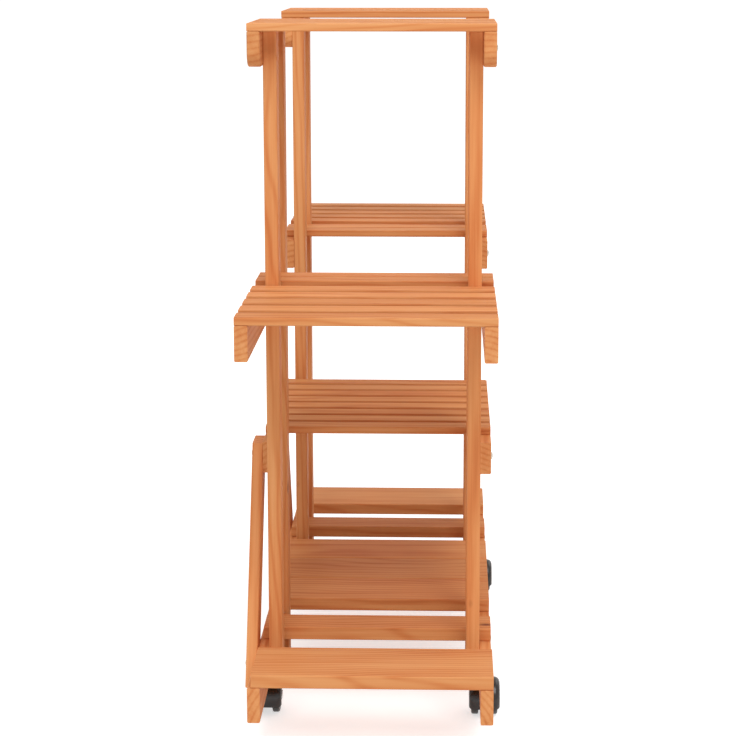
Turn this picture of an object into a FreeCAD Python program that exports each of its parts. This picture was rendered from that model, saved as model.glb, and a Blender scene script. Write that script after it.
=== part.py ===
import FreeCAD, Part
import math
import os
from FreeCAD import Vector

# Flower cart stand: a long slatted base on four hooded twin-wheel casters, two open towers of
# four posts, and five slatted shelves at three heights. Millimetres. X runs along the length,
# -Y is the front, +Y the back with the braces, +Z is up. The origin lies on the floor under the
# middle of the box that holds the whole stand.

os.makedirs("parts", exist_ok=True)

# ---- overall sizes ----
length = 850.0            # over the outer ends of the two wing shelves
shelf_depth = 250.0       # over the outer faces of the front and back rails
height = 750.0            # floor to the top of the tower shelves
wing_z = 480.0            # floor to the top of the wing shelves
centre_z = 300.0          # floor to the top of the centre shelf
base_z = 98.0             # floor to the top of the base boards

# ---- timber sections ----
slat_t = 8.0              # every slat, thickness
wing_slat_w = 27.0        # slat of a wing shelf, across its face
shelf_slat_w = 24.0       # slat of a tower shelf or the centre shelf
rail_t = 13.0             # every rail, thickness
wing_rail_h = 35.0        # rails, top to bottom
centre_rail_h = 35.0
tower_rail_h = 36.0
base_rail_h = 37.0
post_w = 27.0             # post, along the length
post_t = 14.0             # post, across the depth
board_t = 14.0            # base board thickness
brace_w = 32.0            # diagonal brace, across its face
brace_t = 12.0            # diagonal brace thickness
arris = 1.0               # eased long edges of every stick of timber

# ---- towers and shelves ----
tower_middle = 188.0      # middle of the stand to the middle of a tower
tower_w = 112.0           # over the outer and inner posts
tower_overhang = 32.0     # tower shelf past the outer posts
tower_corner_r = 16.0     # rounded lower corners of the tower shelf rails
post_gap = 0.8            # air between a wing slat and the post beside it
wing_outer_slats = 5      # wing slats from the end to the outer post
wing_inner_slats = 2      # wing slats between the two posts
tower_slats = 5           # slats of each tower shelf
centre_slats = 8          # slats of the centre shelf
centre_gap = 10.0         # inner post to the first slat of the centre shelf

# ---- base ----
base_length = 704.0       # over the ends of the base rails
end_board_w = 82.0        # board at each end of the base
tower_board_w = 42.0      # board between the posts of a tower
middle_board_w = 74.0     # boards between the towers
middle_boards = 3
middle_joint = 2.0        # open joint between the middle boards
board_back_inset = 4.0    # base boards stop short of the back rail's outer face

# ---- diagonal braces on the back ----
brace_head_shift = 6.5    # head screw past the inner post's middle, towards the stand's middle
brace_head_drop = 4.0     # level top cut, below the top edge of the centre rail

# ---- screws ----
screw_r = 2.0             # shank radius
screw_bite = 10.0         # depth of thread in the post
head_r = 4.0              # domed head radius
head_crown_r = 2.4        # flat crown of the head
head_h = 2.2              # head height
screw_fit = 0.05          # radial clearance round the shank

# ---- casters ----
caster_x = 208.0          # middle of the stand to the swivel axis
trail = 6.0               # swivel axis to wheel axle
wheel_r = 19.0            # wheel radius
wheel_inner = 6.5         # caster's middle to a wheel's inner face
wheel_tread = 9.0         # width of the tread
tread_ease = 1.8          # eased edges of the tread
dish_depth = 1.6          # hollow in a wheel's outer face
dish_rim = 3.0            # rim left outside the hollow
hub_r = 6.5               # raised hub in the hollow
hub_proud = 0.4           # hub past the rim's outer face
axle_r = 2.5              # wheel axle radius
rivet_r = 4.5             # axle head radius
rivet_h = 0.9             # axle head height
rivet_ease = 0.4          # eased rim of the axle head
hood_w = 34.0             # hood, over both wheels
hood_gap = 0.8            # air between the hood and the tread
hood_wall = 1.5           # hood wall
hood_tilt = 22.0          # degrees that the hood leans over towards the stem
hood_ease = 1.0           # rounded side edges of the hood
web_w = 5.0               # web that carries the hood between the wheels
boss_r = 5.0              # boss round the axle
side_gap = 0.3            # air between the boss and each wheel
neck_r = 6.0              # neck round the stem
neck_floor = 3.0          # floor under the stem's bore
neck_low = 26.0           # underside of the neck
lift_gap = 0.3            # air between faces that turn past each other
stem_r = 3.5              # swivel stem radius
stem_bite = 26.0          # stem length above its collar
collar_r = 5.5            # stem collar radius
collar_t = 1.2            # stem collar thickness
socket_r = 4.5            # socket pressed into the rail
socket_depth = 28.0       # socket length inside the rail
flange_r = 6.2            # socket flange under the rail
flange_t = 1.0            # socket flange thickness
run_fit = 0.05            # radial running clearance
seat_fit = 0.02           # radial clearance of parts that do not turn, and end play of a wheel

# ---- places worked out from the sizes ----
half_length = length / 2
half_depth = shelf_depth / 2
rail_inner = half_depth - rail_t
post_inner = rail_inner - post_t
outer_post = (tower_middle + tower_w / 2 - post_w, tower_middle + tower_w / 2)
inner_post = (tower_middle - tower_w / 2, tower_middle - tower_w / 2 + post_w)
outer_post_mid = sum(outer_post) / 2
inner_post_mid = sum(inner_post) / 2
base_rail_top = base_z - board_t
base_rail_low = base_rail_top - base_rail_h
centre_rail_top = centre_z - slat_t
wing_rail_top = wing_z - slat_t
tower_rail_top = height - slat_t
base_screw_z = base_rail_top - base_rail_h / 2
centre_screw_z = centre_rail_top - centre_rail_h / 2
wing_screw_z = wing_rail_top - wing_rail_h / 2
tower_screw_z = tower_rail_top - tower_rail_h / 2
brace_head_x = inner_post_mid - brace_head_shift
caster_y = half_depth - rail_t / 2
collar_low = base_rail_low - flange_t - collar_t
front_reach = caster_y + hood_w / 2
back_reach = half_depth + brace_t + head_h
depth_shift = (front_reach - back_reach) / 2     # brings the middle of the box to Y = 0

ALONG = Vector(1, 0, 0)
ACROSS = Vector(0, 1, 0)
UP = Vector(0, 0, 1)
SIDES = {"left": -1, "right": 1}
FACES = {"front": -1, "back": 1}


def save(node, solids):
    """Write one solid, or a group of separate solids, as one node."""
    shape = solids[0] if len(solids) == 1 else Part.makeCompound(solids)
    shape.translate(ACROSS * depth_shift)
    shape.exportStep("parts/" + node + ".step")


def span(sign, near, far):
    """The stretch between two distances from the middle, on the side that the sign gives."""
    return (near, far) if sign > 0 else (-far, -near)


def ease(shape, grain):
    """Take the sharp arris off the straight edges that run with the grain."""
    edges = [e for e in shape.Edges
             if e.Curve.TypeId == "Part::GeomLine" and abs(e.tangentAt(0).dot(grain)) > 0.999]
    return shape.makeChamfer(arris, edges)


def stick(xs, ys, zs, grain):
    """A straight piece of timber between three pairs of faces."""
    box = Part.makeBox(xs[1] - xs[0], ys[1] - ys[0], zs[1] - zs[0], Vector(xs[0], ys[0], zs[0]))
    return ease(box, grain)


# ---- screws: every rail is screwed to every post that it crosses ----
def screw_places():
    """(face, x, z, thickness gone through before the post) of every screw."""
    places = []
    for sign in SIDES.values():
        outer = sign * outer_post_mid
        inner = sign * inner_post_mid
        for face, out in FACES.items():
            braced = out > 0
            places.append((face, outer, base_screw_z, rail_t + brace_t if braced else rail_t))
            places.append((face, inner, base_screw_z, rail_t))
            head_x = sign * brace_head_x if braced else inner
            places.append((face, head_x, centre_screw_z, rail_t + brace_t if braced else rail_t))
            for x in (outer, inner):
                places.append((face, x, wing_screw_z, rail_t))
                places.append((face, x, tower_screw_z, rail_t))
    return places


def screw(face, x, z, through):
    """A domed screw, driven from outside the stand into the post."""
    out = ACROSS * FACES[face]
    seat = Vector(x, 0, z) + out * (rail_inner + through)
    shank = Part.makeCylinder(screw_r, through + screw_bite, seat, -out)
    head = Part.makeCone(head_r, head_crown_r, head_h, seat, out)
    return shank.fuse(head).removeSplitter()


def drilled(shape):
    """A piece of timber with the holes of the screws that pass through it."""
    box = shape.BoundBox
    bits = []
    for face, x, z, through in screw_places():
        out = ACROSS * FACES[face]
        inside = box.XMin < x < box.XMax and box.ZMin < z < box.ZMax
        if inside and box.Center.y * out.y > 0:
            start = Vector(x, 0, z) + out * (rail_inner + through + arris)
            deep = through + screw_bite + screw_fit + arris
            bits.append(Part.makeCylinder(screw_r + screw_fit, deep, start, -out))
    return shape.cut(bits) if bits else shape


# ---- posts: four to a tower, from the foot of the base rail to the tower shelf ----
for side, sign in SIDES.items():
    for place, reach in (("outer", outer_post), ("inner", inner_post)):
        for face, out in FACES.items():
            post = stick(span(sign, *reach), span(out, post_inner, rail_inner),
                         (base_rail_low, tower_rail_top), UP)
            save(side + "_" + place + "_post_" + face, [drilled(post)])


# ---- rails ----
def rail(xs, face, top, rail_h):
    return stick(xs, span(FACES[face], rail_inner, half_depth), (top - rail_h, top), ALONG)


def caster_holes(face):
    """The upright holes for the caster sockets, in the underside of a base rail."""
    places = [Vector(sign * caster_x, FACES[face] * caster_y, base_rail_low) for sign in SIDES.values()]
    return [Part.makeCylinder(socket_r + seat_fit, socket_depth, place) for place in places]


def tower_rail(xs, face):
    """Rail of a tower shelf: both lower corners are rounded in side view."""
    ys = span(FACES[face], rail_inner, half_depth)
    blank = Part.makeBox(xs[1] - xs[0], rail_t, tower_rail_h, Vector(xs[0], ys[0], tower_rail_top - tower_rail_h))
    low_ends = [e for e in blank.Edges
                if abs(e.tangentAt(0).y) > 0.999 and e.CenterOfMass.z < tower_screw_z]
    return ease(blank.makeFillet(tower_corner_r, low_ends), ALONG)


for face in FACES:
    base = rail((-base_length / 2, base_length / 2), face, base_rail_top, base_rail_h)
    save("base_rail_" + face, [drilled(base).cut(caster_holes(face))])
    centre = rail((-inner_post[1], inner_post[1]), face, centre_rail_top, centre_rail_h)
    save("centre_rail_" + face, [drilled(centre)])
    for side, sign in SIDES.items():
        wing = rail(span(sign, inner_post[0], half_length), face, wing_rail_top, wing_rail_h)
        save(side + "_wing_rail_" + face, [drilled(wing)])
        top = tower_rail(span(sign, inner_post[0], outer_post[1] + tower_overhang), face)
        save(side + "_top_rail_" + face, [drilled(top)])


# ---- slats, laid across the rails ----
def slat_row(xs, count, width, top):
    """Evenly spaced slats that fill a stretch of the length."""
    pitch = (xs[1] - xs[0] - width) / (count - 1)
    starts = [xs[0] + i * pitch for i in range(count)]
    return [stick((x, x + width), (-half_depth, half_depth), (top - slat_t, top), ACROSS) for x in starts]


for side, sign in SIDES.items():
    outer = span(sign, outer_post[1] + post_gap, half_length)
    inner = span(sign, inner_post[1] + post_gap, outer_post[0] - post_gap)
    save(side + "_wing_slats", slat_row(outer, wing_outer_slats, wing_slat_w, wing_z)
         + slat_row(inner, wing_inner_slats, wing_slat_w, wing_z))
    over = span(sign, inner_post[0], outer_post[1] + tower_overhang)
    save(side + "_top_slats", slat_row(over, tower_slats, shelf_slat_w, height))

centre_reach = inner_post[0] - centre_gap
save("centre_slats", slat_row((-centre_reach, centre_reach), centre_slats, shelf_slat_w, centre_z))


# ---- base boards ----
def board(xs):
    return stick(xs, (-half_depth, half_depth - board_back_inset), (base_rail_top, base_z), ACROSS)


for side, sign in SIDES.items():
    save("base_end_board_" + side, [board(span(sign, base_length / 2 - end_board_w, base_length / 2))])
    beside = (tower_middle - tower_board_w / 2, tower_middle + tower_board_w / 2)
    save("base_tower_board_" + side, [board(span(sign, *beside))])

middle_pitch = middle_board_w + middle_joint
for i in range(middle_boards):
    x = (i - (middle_boards - 1) / 2) * middle_pitch - middle_board_w / 2
    save("base_middle_board_" + str(i + 1), [board((x, x + middle_board_w))])


# ---- diagonal braces, screwed over the back rails ----
def brace(sign):
    """A board with level ends that leans in from the base to the centre shelf."""
    lean = (brace_head_x - outer_post_mid) / (centre_screw_z - base_screw_z)
    half = brace_w / 2 * math.sqrt(1 + lean * lean)
    low = base_rail_low
    high = centre_rail_top - brace_head_drop
    corners = []
    for z, offset in ((low, -half), (low, half), (high, half), (high, -half)):
        x = outer_post_mid + lean * (z - base_screw_z) + offset
        corners.append(Vector(sign * x, half_depth, z))
    plank = Part.Face(Part.makePolygon(corners + corners[:1])).extrude(ACROSS * brace_t)
    slanted = [e for e in plank.Edges if abs(e.tangentAt(0).z) > 0.5]
    return plank.makeChamfer(arris, slanted)


for side, sign in SIDES.items():
    save("brace_" + side, [drilled(brace(sign))])

for face in FACES:
    plain = [p for p in screw_places() if p[0] == face and p[3] == rail_t]
    save(face + "_rail_screws", [screw(*p) for p in plain])
save("brace_bolts", [screw(*p) for p in screw_places() if p[3] > rail_t])


# ---- casters: a stem in the rail, a hooded housing that turns on it, and two wheels ----
def round_y(radius, half_width, centre):
    """A cylinder across the depth, centred on a point."""
    return Part.makeCylinder(radius, 2 * half_width, centre - ACROSS * half_width, ACROSS)


def turned(points, centre):
    """A solid of revolution about the Y line through centre; points are (radius, y)."""
    outline = [centre + UP * r + ACROSS * y for r, y in points]
    return Part.Face(Part.makePolygon(outline + outline[:1])).revolve(centre, ACROSS, 360)


def housing(stem_at, axle_at):
    """Moulded hood over both wheels, its web, the boss round the axle and the neck round the stem."""
    hood_r = wheel_r + hood_gap + hood_wall
    drum = round_y(hood_r, hood_w / 2, axle_at)
    drum = drum.makeFillet(hood_ease, [e for e in drum.Edges if e.Curve.TypeId == "Part::GeomCircle"])
    shell = drum.cut(round_y(hood_r - hood_wall, hood_w, axle_at))
    hood = shell.fuse(round_y(hood_r - hood_wall / 2, web_w / 2, axle_at))
    open_half = Part.makeBox(4 * hood_r, 2 * hood_w, 2 * hood_r,
                             axle_at - Vector(2 * hood_r, hood_w, 2 * hood_r))
    open_half.rotate(axle_at, ACROSS, -hood_tilt)
    boss = round_y(boss_r, wheel_inner - side_gap, axle_at)
    neck_top = collar_low - lift_gap
    neck = Part.makeCylinder(neck_r, neck_top - neck_low, stem_at + UP * neck_low)
    body = hood.cut(open_half).fuse([boss, neck]).removeSplitter()
    bore_floor = neck_low + neck_floor
    stem_bore = Part.makeCylinder(stem_r + run_fit, neck_top, stem_at + UP * bore_floor)
    return body.cut([stem_bore, round_y(axle_r + seat_fit, hood_w, axle_at)])


def wheel(axle_at, out):
    """One wheel beside the web; out is +1 or -1 across the depth."""
    rim = wheel_inner + wheel_tread
    hub = rim + hub_proud
    dish = rim - dish_depth
    ring = wheel_r - dish_rim
    profile = [
        (axle_r + run_fit, wheel_inner), (wheel_r - tread_ease, wheel_inner),
        (wheel_r, wheel_inner + tread_ease), (wheel_r, rim - tread_ease),
        (wheel_r - tread_ease, rim), (ring, rim), (ring - dish_depth, dish),
        (hub_r + dish_depth, dish), (hub_r, hub), (axle_r + run_fit, hub),
    ]
    return turned([(r, out * y) for r, y in profile], axle_at)


def axle(axle_at):
    """Steel pin fixed in the boss, with a flat head outside each wheel."""
    seat = wheel_inner + wheel_tread + hub_proud + seat_fit
    crown = seat + rivet_h
    half = [(rivet_r - rivet_ease, crown), (rivet_r, crown - rivet_ease), (rivet_r, seat), (axle_r, seat)]
    other = [(r, -y) for r, y in reversed(half)]
    return turned([(0.0, crown)] + half + other + [(0.0, -crown)], axle_at)


def stem(stem_at):
    """Steel stem with the collar that bears on the socket's flange."""
    foot = neck_low + neck_floor + lift_gap
    top = collar_low + collar_t + stem_bite
    pin = Part.makeCylinder(stem_r, top - foot, stem_at + UP * foot)
    return pin.fuse(Part.makeCylinder(collar_r, collar_t, stem_at + UP * collar_low)).removeSplitter()


def socket(stem_at):
    """Flanged sleeve in the rail that grips the stem."""
    foot = stem_at + UP * (base_rail_low - flange_t)
    sleeve = Part.makeCylinder(socket_r, socket_depth + flange_t, foot)
    flange = Part.makeCylinder(flange_r, flange_t, foot)
    bore = Part.makeCylinder(stem_r + seat_fit, socket_depth + flange_t, foot)
    return sleeve.fuse(flange).removeSplitter().cut(bore)


sockets = []
for side, sign in SIDES.items():
    for face, out in FACES.items():
        corner = face + "_" + side
        stem_at = Vector(sign * caster_x, out * caster_y, 0)
        axle_at = stem_at + ALONG * trail + UP * wheel_r
        sockets.append(socket(stem_at))
        save("caster_stem_" + corner, [stem(stem_at)])
        save("caster_housing_" + corner, [housing(stem_at, axle_at)])
        save("caster_axle_" + corner, [axle(axle_at)])
        save("caster_wheel_" + corner + "_inner", [wheel(axle_at, -out)])
        save("caster_wheel_" + corner + "_outer", [wheel(axle_at, out)])
save("caster_sockets", sockets)
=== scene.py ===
import math

import bmesh
import bpy
import numpy as np
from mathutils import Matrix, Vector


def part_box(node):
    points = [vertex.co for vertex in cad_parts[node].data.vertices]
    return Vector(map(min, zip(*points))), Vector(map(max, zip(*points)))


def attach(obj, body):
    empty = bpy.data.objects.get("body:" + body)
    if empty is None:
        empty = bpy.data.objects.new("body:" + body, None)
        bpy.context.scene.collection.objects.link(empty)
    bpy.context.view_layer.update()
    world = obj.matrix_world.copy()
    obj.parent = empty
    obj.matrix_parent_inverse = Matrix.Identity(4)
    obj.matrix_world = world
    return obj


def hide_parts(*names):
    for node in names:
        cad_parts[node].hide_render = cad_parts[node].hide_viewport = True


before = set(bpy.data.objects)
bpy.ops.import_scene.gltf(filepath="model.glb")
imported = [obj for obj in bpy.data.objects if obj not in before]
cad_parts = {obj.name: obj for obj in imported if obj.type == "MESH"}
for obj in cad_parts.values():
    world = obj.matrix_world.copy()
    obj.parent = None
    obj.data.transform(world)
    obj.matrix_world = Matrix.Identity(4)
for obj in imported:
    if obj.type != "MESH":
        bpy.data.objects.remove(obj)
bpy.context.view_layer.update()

# ---- Posts -------------------------------------------------------------------------------
# Eight planed fir posts, 14 by 27 mm, four to a tower, stained orange-brown. The grain runs
# up the post. The rings, the fine fibres and the uneven take of the stain are worked out in
# space, so that the end grain agrees with the faces.
TOWERS = ("left", "right")
FACES = ("front", "back")
UP_GRAIN = (0.0, math.pi / 2, 0.0)        # turns that bring the grain onto X
LENGTH_GRAIN = (0.0, 0.0, 0.0)
DEPTH_GRAIN = (0.0, 0.0, -math.pi / 2)
ARRIS = 0.0003                            # eased edge of a slat
LOG_STRIDE = (17.0, 0.9, 1.7)             # how far apart in the log the boards are cut
PITH_OFFSET = 0.05                        # how far to the side the pith lies, at most
PITH_WANDER = 0.034
WANDER_UP = 0.7                           # share of it that also goes through the board
PITH_LEAN = 0.05                          # slope of the pith against the board, at most
LEAN_SWING = 6.28                         # one full swing of the lean over the boards' numbers
RING_SCALE = 54.0                         # the wave texture's, for rings about 6 mm apart
RING_STRETCH = 0.05                       # makes their unevenness long along the grain
LATE_WOOD = 2.6                           # power that narrows a ring to its dark late wood
FIR_TONES = [(0.40, (0.82, 0.388, 0.158)), (0.60, (0.752, 0.310, 0.113)),
             (0.78, (0.668, 0.230, 0.076)), (0.98, (0.54, 0.148, 0.044))]
KNOT_TONE = (0.22, 0.062, 0.024, 1.0)
KNOT_REACH = (0.035, 0.075)               # a knot's solid heart and its edge
# painted shade: a dark colour laid into each narrow gap between slats and on the edges beside it
PAINTED_GAP_SHADE = (0.30, 0.070, 0.022, 1.0)
GAP_SHADE_COVER = 0.3                           # how far that colour covers the wood of a gap
DULLEST_BOARD = 0.90
BRIGHTEST_BOARD = 1.06
TONE_SHUFFLE = 7.31                       # sets the tones in another order than the log
FIR_SPECULAR = 0.10                       # the stain leaves next to no gloss
FIBRE_DEPTH = 0.0004
SLAT_FIT = 2e-4                           # play when two edges are matched to a slat's width
NUMBER_LEAD = 0.001                       # a slat's number begins this far before the slat
chance = np.random.default_rng(41)


def feed(tree, source, socket):
    """Feeds a socket with a number or a colour, or from a (node, output) pair."""
    if isinstance(source, tuple) and isinstance(source[0], bpy.types.Node):
        tree.links.new(source[0].outputs[source[1]], socket)
    else:
        socket.default_value = source


def reckon(tree, operation, first, second=0.0):
    """The result of a math node, as a (node, output) pair."""
    node = tree.nodes.new("ShaderNodeMath")
    node.operation = operation
    feed(tree, first, node.inputs[0])
    feed(tree, second, node.inputs[1])
    return node, 0


def total(tree, first, *others):
    """The sum of two values or more."""
    for other in others:
        first = reckon(tree, "ADD", first, other)
    return first


def uneven(tree, source, least, spread):
    """least plus spread times the source, as for a roughness that follows a pattern."""
    return total(tree, reckon(tree, "MULTIPLY", source, spread), least)


def mapped(tree, source, before, after):
    """A value carried from one (low, high) range to another, and held at the ends."""
    node = tree.nodes.new("ShaderNodeMapRange")
    for name, end in zip(("From Min", "From Max", "To Min", "To Max"), (*before, *after)):
        node.inputs[name].default_value = end
    feed(tree, source, node.inputs["Value"])
    return node, 0


def stretched(tree, place, along, across):
    """A place scaled along and across the grain, in turns per metre."""
    node = tree.nodes.new("ShaderNodeVectorMath")
    node.operation = "MULTIPLY"
    feed(tree, place, node.inputs[0])
    node.inputs[1].default_value = (along, across, across)
    return node, 0


def noise(tree, place, detail, roughness, scale=1.0):
    """Soft noise about 0.5, with scale in turns for each unit of the place."""
    node = tree.nodes.new("ShaderNodeTexNoise")
    node.inputs["Detail"].default_value = detail
    node.inputs["Roughness"].default_value = roughness
    feed(tree, scale, node.inputs["Scale"])
    feed(tree, place, node.inputs["Vector"])
    return node, "Fac"


def ramp(tree, source, stops, stepped=False):
    """A colour ramp with (place, colour) stops, either blended or in steps."""
    node = tree.nodes.new("ShaderNodeValToRGB")
    bar = node.color_ramp
    while len(bar.elements) < len(stops):
        bar.elements.new(0.5)
    for element, (place, colour) in zip(bar.elements, stops):
        element.position = place
        element.color = (*colour, 1.0)
    if stepped:
        bar.interpolation = "CONSTANT"
    feed(tree, source, node.inputs["Fac"])
    return node, "Color"


def blended(tree, factor, first, second):
    """The first colour at factor 0 and the second at factor 1.

    A Mix node has several inputs of each name, so they are reached by number.
    """
    node = tree.nodes.new("ShaderNodeMix")
    node.data_type = "RGBA"
    for number, operand in ((0, factor), (6, first), (7, second)):
        feed(tree, operand, node.inputs[number])
    return node, 2


def shader_group(name, inputs, outputs):
    """A new group with its named sockets: its tree, its input node and its output node."""
    tree = bpy.data.node_groups.new(name, "ShaderNodeTree")
    for socket, kind in inputs:
        tree.interface.new_socket(socket, in_out="INPUT", socket_type="NodeSocket" + kind)
    for socket, kind in outputs:
        tree.interface.new_socket(socket, in_out="OUTPUT", socket_type="NodeSocket" + kind)
    return tree, tree.nodes.new("NodeGroupInput"), tree.nodes.new("NodeGroupOutput")


def blank_material(name):
    """A material with its tree, its shader and the place in Object coordinates."""
    material = bpy.data.materials.new(name)
    material.use_nodes = True
    tree = material.node_tree
    place = tree.nodes.new("ShaderNodeTexCoord")
    return material, tree, tree.nodes["Principled BSDF"], (place, "Object")


def relief(tree, height, strength, depth, shader):
    """Turns a shader's normals by a height, whose full rise is depth."""
    bump = tree.nodes.new("ShaderNodeBump")
    bump.inputs["Strength"].default_value = strength
    bump.inputs["Distance"].default_value = depth
    feed(tree, height, bump.inputs["Height"])
    feed(tree, (bump, 0), shader.inputs["Normal"])


def cover(node, material):
    """Gives a CAD node's own mesh its material."""
    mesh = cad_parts[node].data
    mesh.materials.clear()
    mesh.materials.append(material)


def fir_figure():
    """Shader group: stained fir.

    Vector is the place with X along the grain, and Piece is a number from 0 to 1 that each
    board has for itself.

    Formula: the growth rings are a wave by the distance from a pith that runs along X, leans
    and wanders. Late wood, streaks, fibres and blotches are added by weight, and their sum
    picks the colour, which a knot replaces and the board's own tone brightens or dulls.
    """
    tree, given, made = shader_group(
        "stained fir figure", [("Vector", "Vector"), ("Piece", "Float")],
        [("Color", "Color"), ("Roughness", "Float"), ("Height", "Float")])
    piece = (given, "Piece")

    # each board is cut from its own place in the log
    cut = tree.nodes.new("ShaderNodeCombineXYZ")
    for socket, stride in zip(cut.inputs, LOG_STRIDE):
        feed(tree, reckon(tree, "MULTIPLY", piece, stride), socket)
    moved = tree.nodes.new("ShaderNodeVectorMath")
    moved.operation = "ADD"
    feed(tree, (given, "Vector"), moved.inputs[0])
    feed(tree, (cut, 0), moved.inputs[1])
    place = (moved, 0)

    # growth rings round a pith that wanders and leans a little from the board's length
    board = tree.nodes.new("ShaderNodeSeparateXYZ")
    feed(tree, (given, "Vector"), board.inputs[0])
    sway = noise(tree, stretched(tree, place, 3.4, 9.0), 2.0, 0.5)
    wander = reckon(tree, "MULTIPLY", sway, PITH_WANDER)
    swing = reckon(tree, "SINE", reckon(tree, "MULTIPLY", piece, LEAN_SWING))
    lean = reckon(tree, "MULTIPLY", swing, PITH_LEAN)
    leant = reckon(tree, "MULTIPLY", (board, "X"), lean)
    offset = reckon(tree, "MULTIPLY", piece, PITH_OFFSET)
    side = total(tree, (board, "Y"), leant, wander, offset)
    rise = total(tree, (board, "Z"), reckon(tree, "MULTIPLY", wander, WANDER_UP))
    slow = reckon(tree, "MULTIPLY", (board, "X"), RING_STRETCH)
    in_log = tree.nodes.new("ShaderNodeCombineXYZ")
    for socket, part in zip(in_log.inputs, (slow, side, rise)):
        feed(tree, part, socket)
    rings = tree.nodes.new("ShaderNodeTexWave")
    rings.wave_type = "RINGS"
    rings.rings_direction = "X"
    rings.wave_profile = "SIN"
    rings.inputs["Scale"].default_value = RING_SCALE
    rings.inputs["Distortion"].default_value = 1.6
    rings.inputs["Detail"].default_value = 2.0
    rings.inputs["Detail Scale"].default_value = 0.7
    feed(tree, (in_log, 0), rings.inputs["Vector"])
    late = reckon(tree, "POWER", (rings, "Fac"), LATE_WOOD)

    # fine fibres, soft streaks and the blotchy take of the stain, each with its weight
    fibres = noise(tree, stretched(tree, place, 11.0, 620.0), 3.0, 0.6)
    streaks = noise(tree, stretched(tree, place, 4.5, 120.0), 3.0, 0.55)
    blotches = noise(tree, stretched(tree, place, 5.0, 24.0), 2.0, 0.5)
    weights = ((late, 0.17), (streaks, 0.50), (fibres, 0.26), (blotches, 0.40))
    darkness = total(tree, *[reckon(tree, "MULTIPLY", part, share) for part, share in weights])
    wood = ramp(tree, darkness, FIR_TONES)

    # a few small tight knots
    cells = tree.nodes.new("ShaderNodeTexVoronoi")
    cells.inputs["Scale"].default_value = 1.0
    feed(tree, stretched(tree, place, 7.0, 13.0), cells.inputs["Vector"])
    heart, edge = KNOT_REACH
    knots = ramp(tree, (cells, "Distance"), [(heart, (1.0, 1.0, 1.0)), (edge, (0.0, 0.0, 0.0))])
    knotted = blended(tree, knots, wood, KNOT_TONE)

    # boards differ a little in tone
    shuffled = reckon(tree, "FRACT", reckon(tree, "MULTIPLY", piece, TONE_SHUFFLE))
    toned = tree.nodes.new("ShaderNodeHueSaturation")
    feed(tree, mapped(tree, shuffled, (0.0, 1.0), (DULLEST_BOARD, BRIGHTEST_BOARD)),
         toned.inputs["Value"])
    feed(tree, knotted, toned.inputs["Color"])
    feed(tree, (toned, 0), made.inputs["Color"])

    feed(tree, uneven(tree, fibres, least=0.46, spread=0.24), made.inputs["Roughness"])
    feed(tree, uneven(tree, late, least=fibres, spread=0.45), made.inputs["Height"])
    return tree


def number_slats(tree, place, node, slat_width):
    """(number, gap shade) along X: steps that give each slat its number, and painted gap shade.

    A slat starts where the mesh has another edge one slat width further on. Painted shade darkens
    the colour in each narrow gap, on the slats' facing edges and the arris next to them.
    """
    edges = sorted({round(v.co.x, 4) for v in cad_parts[node].data.vertices})
    starts = [x for x in edges
              if any(abs(x + slat_width - other) < SLAT_FIT for other in edges)]
    low, high = edges[0], edges[-1]
    along = tree.nodes.new("ShaderNodeSeparateXYZ")
    feed(tree, place, along.inputs[0])
    share = mapped(tree, (along, "X"), (low, high), (0.0, 1.0))
    steps = [(0.0, (chance.random(),) * 3)]
    for start in starts[1:]:
        steps.append(((start - NUMBER_LEAD - low) / (high - low), (chance.random(),) * 3))
    # painted shade: steps that darken the colour from each slat's end to the next slat's start
    marks = [(0.0, (0.0,) * 3)]
    for start, following in zip(starts, starts[1:]):
        marks.append(((start + slat_width - ARRIS - low) / (high - low), (GAP_SHADE_COVER,) * 3))
        marks.append(((following + ARRIS - low) / (high - low), (0.0,) * 3))
    return ramp(tree, share, steps, stepped=True), ramp(tree, share, marks, stepped=True)


figure = fir_figure()


def stain(node, turn, slat_width=None):
    """Stained fir on a timber node. turn brings the grain onto X; slats get a number each."""
    material, tree, shader, place = blank_material("fir " + node)
    shader.inputs["Specular IOR Level"].default_value = FIR_SPECULAR
    onto_grain = tree.nodes.new("ShaderNodeMapping")
    onto_grain.inputs["Rotation"].default_value = turn
    feed(tree, place, onto_grain.inputs["Vector"])
    fir = tree.nodes.new("ShaderNodeGroup")
    fir.node_tree = figure
    feed(tree, (onto_grain, 0), fir.inputs["Vector"])
    if slat_width is None:
        feed(tree, float(chance.random()), fir.inputs["Piece"])
        feed(tree, (fir, "Color"), shader.inputs["Base Color"])
    else:
        number, gap_shade = number_slats(tree, place, node, slat_width)
        feed(tree, number, fir.inputs["Piece"])
        # the slats' colour gets painted shade in each narrow gap between them
        gap_shaded = blended(tree, gap_shade, (fir, "Color"), PAINTED_GAP_SHADE)
        feed(tree, gap_shaded, shader.inputs["Base Color"])
    feed(tree, (fir, "Roughness"), shader.inputs["Roughness"])
    relief(tree, (fir, "Height"), 0.35, FIBRE_DEPTH, shader)
    cover(node, material)


for tower in TOWERS:
    for row in ("outer", "inner"):
        for face in FACES:
            stain(f"{tower}_{row}_post_{face}", UP_GRAIN)

# ---- Base --------------------------------------------------------------------------------
# Two long rails on edge carry seven boards that lie across them: a wide one at each end, a
# narrow one between the posts of each tower, and three in the middle with tight joints.
for face in FACES:
    stain(f"base_rail_{face}", LENGTH_GRAIN)
for tower in TOWERS:
    stain(f"base_end_board_{tower}", DEPTH_GRAIN)
    stain(f"base_tower_board_{tower}", DEPTH_GRAIN)
for number in (1, 2, 3):
    stain(f"base_middle_board_{number}", DEPTH_GRAIN)

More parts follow.
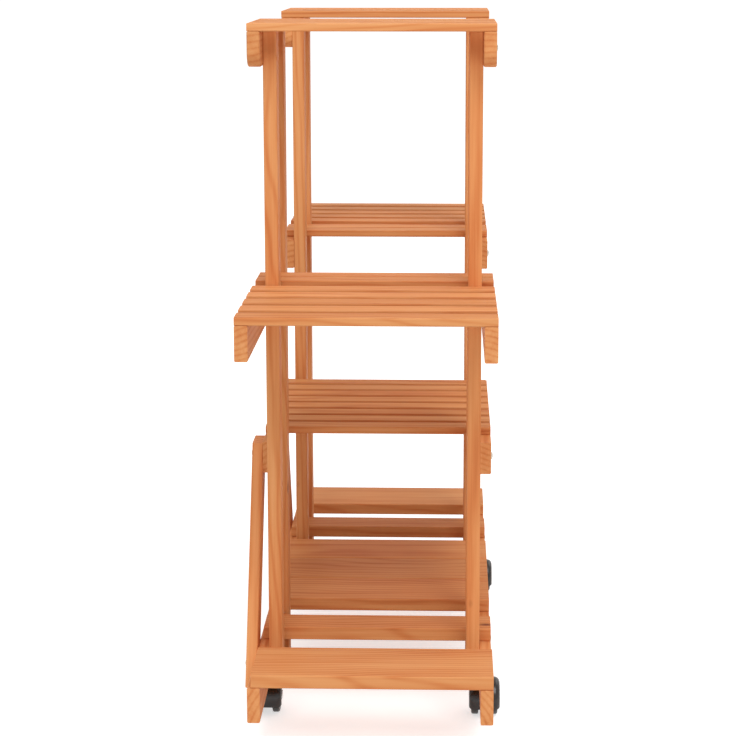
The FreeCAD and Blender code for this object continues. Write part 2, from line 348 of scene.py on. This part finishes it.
# ---- Shelves -----------------------------------------------------------------------------
# Thin planed slats laid across a pair of rails that are screwed to the outside of the posts.
# The wing shelves reach out past the base, and the top shelves' rails have rounded corners.
WING_SLAT_WIDTH = 0.027
SHELF_SLAT_WIDTH = 0.024
for tower in TOWERS:
    for face in FACES:
        stain(f"{tower}_wing_rail_{face}", LENGTH_GRAIN)
        stain(f"{tower}_top_rail_{face}", LENGTH_GRAIN)
    stain(f"{tower}_wing_slats", DEPTH_GRAIN, WING_SLAT_WIDTH)
    stain(f"{tower}_top_slats", DEPTH_GRAIN, SHELF_SLAT_WIDTH)
for face in FACES:
    stain(f"centre_rail_{face}", LENGTH_GRAIN)
stain("centre_slats", DEPTH_GRAIN, SHELF_SLAT_WIDTH)

# ---- Braces ------------------------------------------------------------------------------
# Two slanted boards outside the back rails, bolted to the foot of each outer post and to the
# end of the centre rail, with level saw cuts at both ends. The grain follows the slant.
BRACE_SAW_CUT = 0.035
for tower in TOWERS:
    low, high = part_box(f"brace_{tower}")
    slant = math.atan2(high.z - low.z, (high.x - low.x) - BRACE_SAW_CUT)
    stain(f"brace_{tower}", (0.0, slant if tower == "left" else math.pi - slant, 0.0))

# ---- Screws and bolts --------------------------------------------------------------------
# Domed steel screws with a cross recess, driven through each rail into the posts, and longer
# ones through brace and rail. The zinc has dulled to a brownish grey.
HEAD_RADIUS = 0.004
HEAD_HEIGHT = 0.0022
HEAD_RIM = 0.12                           # the rim's height, as a share of the head's
DOME_POWER = 0.55                         # 0.5 would be half an ellipse
RECESS_WIDTH = 0.0011
RECESS_REACH = 0.0024                     # from the middle to the end of each arm
RECESS_DEPTH = 0.0011
RECESS_SLOPE = 0.45                       # share of the depth lost at the end of an arm
RECESS_SIDE = 0.00012                     # across the steep side of an arm
RECESS_END = 0.0003                       # along the slope at the end of an arm
SHANK_RADIUS = 0.002
SHANK_STUB = 0.006
SCREW_CELL = 0.02                         # wider than a head, narrower than their spacing
HEAD_CREASE = math.radians(40)            # sharper turns of the surface stay sharp
CRYSTALS = 1400.0                         # zinc crystals per metre


def grid_faces(rows, columns):
    """Quads of a grid whose last column joins its first, with its points row by row."""
    row, column = np.meshgrid(np.arange(rows - 1), np.arange(columns), indexing="ij")
    nearest = row * columns + column
    beside = row * columns + (column + 1) % columns
    quads = np.stack([nearest, beside, beside + columns, nearest + columns], axis=-1)
    return quads.reshape(-1, 4)


def capped_faces(rows, columns):
    """The quads of such a grid, with a cap on its first row and on its last."""
    first = np.arange(columns)[::-1]
    last = (rows - 1) * columns + np.arange(columns)
    return [*grid_faces(rows, columns).tolist(), first.tolist(), last.tolist()]


def screw_head(seat, out, turn):
    """A head on its seat, facing along Y by out, and a stub of shank.

    Formula: the height over the seat is a dome H * (rim + (1 - rim) * (1 - (r / R)^2)^power),
    less a cross of two bars whose floor is deepest in the middle. Below the rim it drops to
    the seat and runs in to the shank. Rows go outwards by radius, columns go round.
    """
    columns = 48
    radii = HEAD_RADIUS * np.linspace(0.02, 1.0, 22)
    angle = np.linspace(0.0, 2 * np.pi, columns, endpoint=False)
    r, a = np.meshgrid(radii, angle, indexing="ij")
    bulge = (1 - np.clip(r / HEAD_RADIUS, 0, 1) ** 2) ** DOME_POWER
    dome = HEAD_HEIGHT * (HEAD_RIM + (1 - HEAD_RIM) * bulge)
    across, along = r * np.cos(a + turn), r * np.sin(a + turn)
    thin = np.minimum(np.abs(across), np.abs(along))
    reach = np.maximum(np.abs(across), np.abs(along))
    bar = (np.clip((RECESS_WIDTH / 2 - thin) / RECESS_SIDE, 0, 1)
           * np.clip((RECESS_REACH - reach) / RECESS_END, 0, 1))
    rise = dome - RECESS_DEPTH * bar * (1 - RECESS_SLOPE * reach / RECESS_REACH)
    foot_radii = np.array([HEAD_RADIUS, SHANK_RADIUS, SHANK_RADIUS, radii[0]])
    foot_rise = np.array([0.0, 0.0, -SHANK_STUB, -SHANK_STUB])
    r = np.vstack([r, np.repeat(foot_radii[:, None], columns, axis=1)])
    rise = np.vstack([rise, np.repeat(foot_rise[:, None], columns, axis=1)])
    points = np.stack([seat[0] + r * np.cos(angle), seat[1] + out * rise,
                       seat[2] + r * np.sin(angle)], axis=-1)
    return points.reshape(-1, 3), capped_faces(r.shape[0], columns)


def turn_outwards(mesh):
    """Recalculates the normals of closed shells, and shades them smooth."""
    shell = bmesh.new()
    shell.from_mesh(mesh)
    bmesh.ops.recalc_face_normals(shell, faces=shell.faces)
    shell.to_mesh(mesh)
    shell.free()
    mesh.shade_smooth()


def mesh_piece(name, patches, body, smooth_angle):
    """One object on a body from (points, faces) patches, smooth up to smooth_angle."""
    mesh = bpy.data.meshes.new(name)
    points = np.concatenate([patch[0] for patch in patches])
    starts = np.cumsum([0] + [len(patch[0]) for patch in patches[:-1]])
    faces = [[v + start for v in face]
             for start, patch in zip(starts, patches) for face in patch[1]]
    mesh.from_pydata(points.tolist(), [], faces)
    turn_outwards(mesh)
    mesh.set_sharp_from_angle(angle=smooth_angle)
    piece = bpy.data.objects.new(name, mesh)
    bpy.context.scene.collection.objects.link(piece)
    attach(piece, body)
    return piece


def zinc():
    """Dull zinc plate: small crystals in the tone and in the gloss."""
    material, tree, shader, place = blank_material("dull zinc")
    shader.inputs["Metallic"].default_value = 1.0
    cells = tree.nodes.new("ShaderNodeTexVoronoi")
    cells.inputs["Scale"].default_value = CRYSTALS
    feed(tree, place, cells.inputs["Vector"])
    crystals = (cells, "Distance")
    tint = ramp(tree, crystals, [(0.0, (0.62, 0.58, 0.50)), (1.0, (0.42, 0.38, 0.32))])
    feed(tree, tint, shader.inputs["Base Color"])
    feed(tree, uneven(tree, crystals, least=0.3, spread=0.2), shader.inputs["Roughness"])
    return material


def screw_seats(node):
    """(seat, out) of each screw in a node: the middle of its head, read from its vertices.

    The vertices fall into square cells in X and Z. Those within a cell's width of a cell are
    one screw, and a screw that two cells find is kept once.
    """
    points = np.array([v.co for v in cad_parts[node].data.vertices])
    out = 1.0 if points[:, 1].mean() > 0 else -1.0
    outermost = (points[:, 1] * out).max() - HEAD_HEIGHT
    in_cells = points[:, [0, 2]] / SCREW_CELL
    seats = []
    for cell in np.unique(np.round(in_cells), axis=0):
        near = np.all(np.abs(in_cells - cell) < 1.0, axis=1)
        screw = points[near][:, [0, 2]]
        middle = (screw.min(axis=0) + screw.max(axis=0)) / 2
        seat = (float(middle[0]), out * outermost, float(middle[1]))
        if all(math.dist(seat, other[0]) > 2 * HEAD_RADIUS for other in seats):
            seats.append((seat, out))
    return seats


zinc_plate = zinc()


def dress_screws(piece_name, node, seats):
    """Heads on all seats of a node, each with its recess turned as it came to rest."""
    patches = [screw_head(seat, out, chance.random() * math.pi / 2) for seat, out in seats]
    heads = mesh_piece(piece_name, patches, "stand", HEAD_CREASE)
    heads.data.materials.append(zinc_plate)
    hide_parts(node)


for face in FACES:
    dress_screws(f"{face}_screw_heads", f"{face}_rail_screws", screw_seats(f"{face}_rail_screws"))
dress_screws("brace_bolt_heads", "brace_bolts", screw_seats("brace_bolts"))

# ---- Casters -----------------------------------------------------------------------------
# Furniture casters: a bright steel stem in a socket pressed into the base rail, a glossy black
# moulded hood that swivels on it, and two black wheels on a riveted steel axle.
TRAIL = 0.006                             # from the stem back to the axle
WHEEL_RADIUS = 0.019
WHEEL_INNER = 0.0065                      # the caster's middle to a wheel's inner side
INNER_EASE = 0.0015                       # rounding of the tread towards that side
SHOULDER_DROP = 0.0020                    # the shoulder's curve, from the tread inwards
SHOULDER_REACH = 0.0024                   # and along the axle
TREAD_END = 0.0118                        # where the tread ends and the shoulder begins
FACE_RADII = (0.0168, 0.0063)             # from the shoulder in to the hub
FACE_CROWN = 0.0154
FACE_DROP = 0.0012
GROOVE_RADIUS = 0.0118
GROOVE_WIDTH = 0.0007
GROOVE_DEPTH = 0.0006
HUB_FACE = 0.0158
HUB_SECTION = [(0.0060, 0.0155), (0.0057, HUB_FACE), (0.0027, HUB_FACE), (0.0027, WHEEL_INNER)]
HOOD_TILT = math.radians(22.0)
HOOD_LEVEL = 0.0110                       # half of the level stretch over the treads
HOOD_OUTSIDE = (0.0058, 0.0058, 0.0155)   # each corner's reach and height, and the lip's radius
HOOD_INSIDE = (0.0043, 0.0048, 0.0150)
WEB_RADIUS = 0.0205
WEB_HALF = 0.0025                         # half of its thickness
WEB_EASE = 0.0005
BOSS_RADIUS = 0.0050
BOSS_HALF = 0.0062                        # half of its length
BOSS_EASE = 0.0004
NECK_RADIUS = 0.0060
NECK_FOOT = 0.0260
NECK_EASES = (0.0004, 0.0006)             # at the foot and at the top
HOOD_CREASE = math.radians(35)
WHEEL_CREASE = math.radians(50)
WHEEL_COLOUR = (0.014, 0.010, 0.008)
HOOD_COLOUR = (0.012, 0.007, 0.005)
DUST_PATCHES = 90.0                       # per metre
DUST_TAKES = (0.42, 0.78)                 # noise at which dust begins to show and is full
DUST_GAIN = 1.7                           # dust brightens the colour by this factor
DUST_VEIL = 0.004                         # and adds this much to each channel
SKIN_DEPTH = 0.0001
TOOL_MARKS = (300.0, 2600.0)              # on the steel, per metre along X and across


def moulded_skin():
    """Shader group: moulded nylon.

    Vector is the place, Grit the grains of its skin per metre, Clean and Dusty are its
    colours, and Polish is the least roughness.

    Formula: a noise in patches fades Clean into Dusty and adds to the roughness, and a fine
    noise is the height of the skin.
    """
    tree, given, made = shader_group(
        "moulded nylon skin",
        [("Vector", "Vector"), ("Grit", "Float"), ("Clean", "Color"), ("Dusty", "Color"),
         ("Polish", "Float")],
        [("Color", "Color"), ("Roughness", "Float"), ("Height", "Float")])
    place = (given, "Vector")
    dust = noise(tree, place, 4.0, 0.6, DUST_PATCHES)
    shown = mapped(tree, dust, DUST_TAKES, (0.0, 1.0))
    feed(tree, blended(tree, shown, (given, "Clean"), (given, "Dusty")), made.inputs["Color"])
    feed(tree, uneven(tree, dust, least=(given, "Polish"), spread=0.22),
         made.inputs["Roughness"])
    feed(tree, noise(tree, place, 3.0, 0.6, (given, "Grit")), made.inputs["Height"])
    return tree


skin = moulded_skin()


def moulded(name, colour, polish, grit):
    """Black moulded nylon: a fine skin texture, dust in patches, and a little uneven gloss."""
    material, tree, shader, place = blank_material(name)
    nylon = tree.nodes.new("ShaderNodeGroup")
    nylon.node_tree = skin
    dusty = tuple(DUST_GAIN * channel + DUST_VEIL for channel in colour)
    for socket, value in (("Vector", place), ("Grit", grit), ("Clean", (*colour, 1.0)),
                          ("Dusty", (*dusty, 1.0)), ("Polish", polish)):
        feed(tree, value, nylon.inputs[socket])
    feed(tree, (nylon, "Color"), shader.inputs["Base Color"])
    feed(tree, (nylon, "Roughness"), shader.inputs["Roughness"])
    relief(tree, (nylon, "Height"), 0.25, SKIN_DEPTH, shader)
    return material


def turned_steel():
    """Bright turned steel: fine marks of the lathe in the tone and in the gloss."""
    material, tree, shader, place = blank_material("turned steel")
    shader.inputs["Metallic"].default_value = 1.0
    marks = noise(tree, stretched(tree, place, *TOOL_MARKS), 2.0, 0.5)
    tint = ramp(tree, marks, [(0.3, (0.56, 0.55, 0.54)), (0.7, (0.74, 0.73, 0.71))])
    feed(tree, tint, shader.inputs["Base Color"])
    feed(tree, uneven(tree, marks, least=0.16, spread=0.2), shader.inputs["Roughness"])
    return material


def ring_points(radius, width, angle, middle, out):
    """Points of a section turned about an axle along Y; radius, width and angle broadcast."""
    radius, width, angle = np.broadcast_arrays(radius, width, angle)
    return np.stack([middle[0] + radius * np.cos(angle), middle[1] + out * width,
                     middle[2] + radius * np.sin(angle)], axis=-1)


def caster_wheel(middle, out):
    """A moulded wheel: a level tread, a rounded shoulder and a domed face with a groove.

    Formula: the half section is a closed loop of (radius, width) points turned about the axle.
    The face is width = crown - drop * (r / shoulder)^2, less depth * exp(-((r - g) / s)^2) for
    a groove at radius g.
    """
    shoulder_radius = WHEEL_RADIUS - SHOULDER_DROP
    quarter = np.linspace(0.0, np.pi / 2, 9)
    inner = np.stack([WHEEL_RADIUS - INNER_EASE + INNER_EASE * np.sin(quarter),
                      WHEEL_INNER + INNER_EASE - INNER_EASE * np.cos(quarter)], axis=1)
    shoulder = np.stack([shoulder_radius + SHOULDER_DROP * np.cos(quarter),
                         TREAD_END + SHOULDER_REACH * np.sin(quarter)], axis=1)
    radii = np.linspace(*FACE_RADII, 30)
    groove = GROOVE_DEPTH * np.exp(-((radii - GROOVE_RADIUS) / GROOVE_WIDTH) ** 2)
    domed = FACE_CROWN - FACE_DROP * (radii / shoulder_radius) ** 2
    face = np.stack([radii, domed - groove], axis=1)
    section = np.concatenate([inner, shoulder, face, np.array(HUB_SECTION)])
    angle = np.linspace(0.0, 2 * np.pi, 72, endpoint=False)
    points = ring_points(section[:, :1], section[:, 1:], angle[None, :], middle, out)
    closed = grid_faces(len(section) + 1, len(angle)) % (len(section) * len(angle))
    return points.reshape(-1, 3), closed.tolist()


def hood_line(reach, height, lip):
    """The widths and radii of a line over both treads.

    Formula: it is level in the middle, and at each side a quarter of an ellipse brings it down
    to the lip's radius.
    """
    quarter = np.linspace(0.0, np.pi / 2, 12)
    level = np.linspace(-HOOD_LEVEL, HOOD_LEVEL, 9)[1:-1]
    widths = np.concatenate([-HOOD_LEVEL - reach * np.cos(quarter), level,
                             HOOD_LEVEL + reach * np.sin(quarter)])
    radii = np.concatenate([lip + height * np.sin(quarter), np.full(len(level), lip + height),
                            lip + height * np.cos(quarter)])
    return widths, radii


def hood_shell(middle):
    """The hood: a thin shell that wraps over both treads and round their shoulders.

    Formula: the section is an outer line and an inner line, joined by a lip at each side. It
    is carried half a turn about the axle, from HOOD_TILT above the axle's level, on the side
    away from the stem, to as much below it on the stem's side.
    """
    outer_widths, outer_radii = hood_line(*HOOD_OUTSIDE)
    inner_widths, inner_radii = hood_line(*HOOD_INSIDE)
    width = np.concatenate([outer_widths, inner_widths[::-1]])
    radius = np.concatenate([outer_radii, inner_radii[::-1]])
    angle = np.linspace(HOOD_TILT, HOOD_TILT + np.pi, 49)
    points = ring_points(radius[None, :], width[None, :], angle[:, None], middle, 1.0)
    columns = len(radius)
    faces = grid_faces(len(angle), columns).tolist()
    step = np.arange(len(outer_radii) - 1)
    end = np.stack([step, step + 1, columns - 2 - step, columns - 1 - step], axis=1)
    for first in (0, (len(angle) - 1) * columns):
        faces += (end + first).tolist()
    return points.reshape(-1, 3), faces


def eased_bar(radius, low, high, low_ease, high_ease):
    """The (radius, along) profile of a round bar from low to high, with eased rims."""
    return np.array([(radius - low_ease, low), (radius, low + low_ease),
                     (radius, high - high_ease), (radius - high_ease, high)])


def turned_solid(profile, angle, middle, upright=False):
    """A solid turned about Y, or upright about Z, from a (radius, along) profile.

    Formula: the profile is carried round by the angles and capped at both ends, and flat
    faces close it between the last angle and the first.
    """
    points = ring_points(profile[:, :1], profile[:, 1:], angle[None, :], (0.0, 0.0, 0.0), 1.0)
    if upright:
        points = points[..., [0, 2, 1]]
    points = points + np.array(middle)
    return points.reshape(-1, 3), capped_faces(len(profile), len(angle))


def caster_hood(middle, stem_x, neck_top):
    """Hood, the web under its middle, the boss round the axle and the neck round the stem."""
    half_turn = np.linspace(HOOD_TILT, HOOD_TILT + np.pi, 49)
    full_turn = np.linspace(0.0, 2 * np.pi, 48, endpoint=False)
    web = eased_bar(WEB_RADIUS, -WEB_HALF, WEB_HALF, WEB_EASE, WEB_EASE)
    boss = eased_bar(BOSS_RADIUS, -BOSS_HALF, BOSS_HALF, BOSS_EASE, BOSS_EASE)
    neck = eased_bar(NECK_RADIUS, NECK_FOOT, neck_top, *NECK_EASES)
    return [hood_shell(middle), turned_solid(web, half_turn, middle),
            turned_solid(boss, full_turn, middle),
            turned_solid(neck, full_turn, (stem_x, middle[1], 0.0), upright=True)]


wheel_black = moulded("satin black nylon", WHEEL_COLOUR, 0.30, 3000.0)
hood_black = moulded("glossy black nylon", HOOD_COLOUR, 0.13, 1800.0)
steel = turned_steel()
for tower in TOWERS:
    for face, out in (("front", -1.0), ("back", 1.0)):
        corner = f"{face}_{tower}"
        hood_low, hood_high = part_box(f"caster_housing_{corner}")
        middle_y = (hood_low.y + hood_high.y) / 2
        for part in ("stem", "axle"):
            cover(f"caster_{part}_{corner}", steel)
        wheel_low, wheel_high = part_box(f"caster_wheel_{corner}_inner")
        middle = ((wheel_low.x + wheel_high.x) / 2, middle_y, (wheel_low.z + wheel_high.z) / 2)
        hood = mesh_piece(f"hood_{corner}", caster_hood(middle, middle[0] - TRAIL, hood_high.z),
                          f"caster_{corner}", HOOD_CREASE)
        hood.data.materials.append(hood_black)
        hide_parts(f"caster_housing_{corner}")
        for place, way in (("inner", -out), ("outer", out)):
            wheel = mesh_piece(f"wheel_{corner}_{place}", [caster_wheel(middle, way)],
                               f"wheel_{corner}_{place}", WHEEL_CREASE)
            wheel.data.materials.append(wheel_black)
            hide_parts(f"caster_wheel_{corner}_{place}")
cover("caster_sockets", hood_black)

# ---- Floor, light and camera -------------------------------------------------------------
# A white studio floor that keeps the soft shadow, even white light from all round, a large
# lamp above and behind the camera, a small one at the far end on the front side, and a camera
# at the left end of the stand that looks down a little.
FLOOR_REACH = 60.0
FLOOR_COLOUR = (0.86, 0.86, 0.86, 1.0)
FLOOR_GLOW = 0.62                         # light that the floor gives off to the eye alone
WORLD_LIGHT = 0.54                        # on the stand, where the eye sees 1
LAMPS = [("key_lamp", (-4.6, -0.7, 6.6), 4.8, 370.0), ("fill_lamp", (2.4, -2.6, 3.4), 2.4, 22.0)]
LAMP_AIM = (0.0, 0.0, 0.3)
PHOTO_SIDE = 736.0                        # the photograph's frame, in pixels
FOCAL_LENGTH = 1946.8                     # in the same pixels
SENSOR_WIDTH = 36.0                       # millimetres
CAMERA_PLACE = (-2.2244, -0.0795, 0.8204)
LOOKS_DOWN = 9.459                        # degrees
LOOKS_LEFT = 1.548                        # degrees, from straight along the stand
SHIFT = (-0.039, -0.125)


def seen_by_eye(tree):
    """1 for rays from the camera, and for those it sees in gloss or through glass."""
    ray = tree.nodes.new("ShaderNodeLightPath")
    seen = reckon(tree, "MAXIMUM", (ray, "Is Camera Ray"), (ray, "Is Glossy Ray"))
    return reckon(tree, "MAXIMUM", seen, (ray, "Is Transmission Ray"))


def studio_floor():
    """A matt white sheet on the ground, which glows a little for the eye alone."""
    mesh = bpy.data.meshes.new("studio_floor")
    reach = FLOOR_REACH
    corners = [(-reach, -reach, 0), (reach, -reach, 0), (reach, reach, 0), (-reach, reach, 0)]
    mesh.from_pydata(corners, [], [(0, 1, 2, 3)])
    floor = bpy.data.objects.new("studio_floor", mesh)
    bpy.context.scene.collection.objects.link(floor)
    material = bpy.data.materials.new("white studio floor")
    material.use_nodes = True
    tree = material.node_tree
    matt = tree.nodes["Principled BSDF"]
    matt.inputs["Base Color"].default_value = FLOOR_COLOUR
    matt.inputs["Roughness"].default_value = 1.0
    matt.inputs["Specular IOR Level"].default_value = 0.0
    glow = tree.nodes.new("ShaderNodeEmission")
    glow.inputs["Color"].default_value = (1.0, 1.0, 1.0, 1.0)
    feed(tree, reckon(tree, "MULTIPLY", seen_by_eye(tree), FLOOR_GLOW), glow.inputs["Strength"])
    both = tree.nodes.new("ShaderNodeAddShader")
    feed(tree, (matt, 0), both.inputs[0])
    feed(tree, (glow, 0), both.inputs[1])
    feed(tree, (both, 0), tree.nodes["Material Output"].inputs["Surface"])
    mesh.materials.append(material)


def studio_light():
    """A white world, plain white to the eye and dimmer on the stand, and two square lamps."""
    world = bpy.data.worlds.new("studio")
    bpy.context.scene.world = world
    world.use_nodes = True
    tree = world.node_tree
    background = tree.nodes["Background"]
    background.inputs["Color"].default_value = (1.0, 1.0, 1.0, 1.0)
    level = mapped(tree, seen_by_eye(tree), (0.0, 1.0), (WORLD_LIGHT, 1.0))
    feed(tree, level, background.inputs["Strength"])
    for name, place, size, power in LAMPS:
        light = bpy.data.lights.new(name, "AREA")
        light.size = size
        light.energy = power
        lamp = bpy.data.objects.new(name, light)
        lamp.location = place
        away = Vector(place) - Vector(LAMP_AIM)
        lamp.rotation_euler = away.to_track_quat("Z", "Y").to_euler()
        bpy.context.scene.collection.objects.link(lamp)


def photo_camera():
    """From the left end and a little above, as the photograph is taken.

    The photograph's posts stand all but parallel. A level camera does that, but only with a
    shift of more than half the frame, which would push the stand out of every other view. This
    one looks down instead, with the shift that other views can bear, from the place, turn and
    lens that bring the stand nearest to the level camera's picture.
    """
    camera_data = bpy.data.cameras.new("photo_camera")
    camera_data.sensor_width = SENSOR_WIDTH
    camera_data.lens = SENSOR_WIDTH * FOCAL_LENGTH / PHOTO_SIDE
    camera_data.shift_x, camera_data.shift_y = SHIFT
    camera_data.clip_end = 200.0
    camera = bpy.data.objects.new("photo_camera", camera_data)
    camera.location = CAMERA_PLACE
    camera.rotation_euler = (math.radians(90.0 - LOOKS_DOWN), 0.0,
                             math.radians(-90.0 + LOOKS_LEFT))
    bpy.context.scene.collection.objects.link(camera)
    bpy.context.scene.camera = camera


studio_floor()
studio_light()
photo_camera()
bpy.context.scene.view_settings.view_transform = "Standard"
